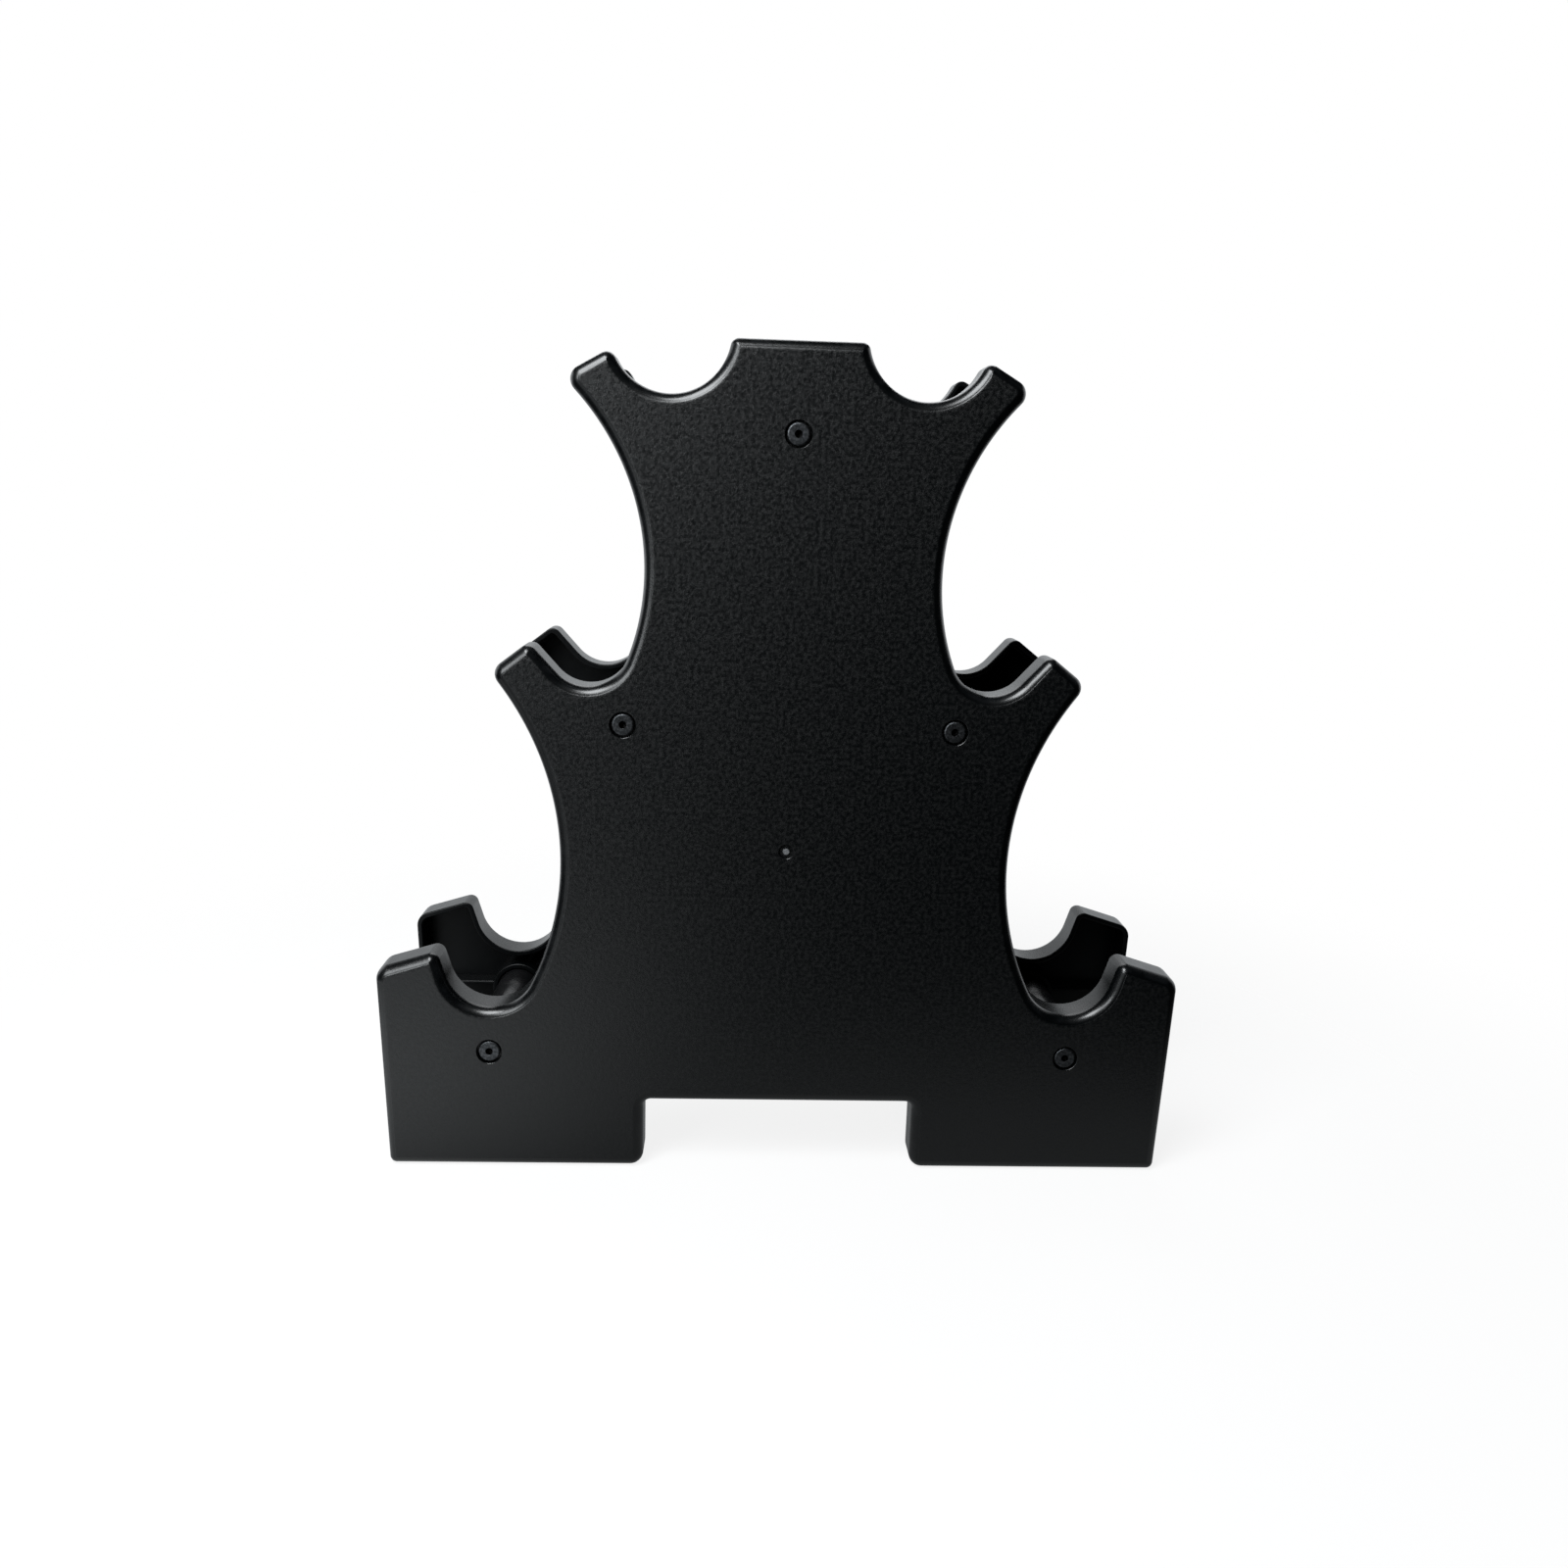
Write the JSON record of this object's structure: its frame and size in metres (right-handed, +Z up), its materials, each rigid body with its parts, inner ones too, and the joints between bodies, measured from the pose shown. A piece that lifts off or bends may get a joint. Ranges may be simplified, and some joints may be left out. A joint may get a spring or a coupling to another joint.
{
  "type": "dumbbell rack",
  "caption": "Compact free-standing tiered dumbbell rack: matching moulded end panels, back to back, with round saddles for the handles, tied together by tubes.",
  "frame": {"origin": "on the floor, midway between the two end panels and midway between their feet", "axes": "+Z up; the front panel faces -Y and the rear panel faces +Y; +X to the right seen from the front"},
  "size_m": [0.3652, 0.096, 0.37],
  "materials": {
    "panel": "black injection-moulded plastic, fine satin grain, polished edge rounding",
    "tube": "black powder coat on round steel tube, satin",
    "plug": "black moulded nylon",
    "screw": "black-zinc button head, smooth, satin",
    "nut": "zinc-plated steel"
  },
  "bodies": {
    "root": {"front_panel": "panel", "rear_panel": "panel", "top_tube": "tube", "middle_left_tube": "tube", "middle_right_tube": "tube", "lower_left_tube": "tube", "lower_right_tube": "tube", "front_top_screw": "screw", "front_middle_left_screw": "screw", "front_middle_right_screw": "screw", "front_lower_left_screw": "screw", "front_lower_right_screw": "screw", "rear_top_screw": "screw", "rear_middle_left_screw": "screw", "rear_middle_right_screw": "screw", "rear_lower_left_screw": "screw", "rear_lower_right_screw": "screw", "front_top_plug": "plug", "front_middle_left_plug": "plug", "front_middle_right_plug": "plug", "front_lower_left_plug": "plug", "front_lower_right_plug": "plug", "rear_top_plug": "plug", "rear_middle_left_plug": "plug", "rear_middle_right_plug": "plug", "rear_lower_left_plug": "plug", "rear_lower_right_plug": "plug", "front_top_nut": "nut", "front_middle_left_nut": "nut", "front_middle_right_nut": "nut", "front_lower_left_nut": "nut", "front_lower_right_nut": "nut", "rear_top_nut": "nut", "rear_middle_left_nut": "nut", "rear_middle_right_nut": "nut", "rear_lower_left_nut": "nut", "rear_lower_right_nut": "nut"}
  },
  "joints": []
}
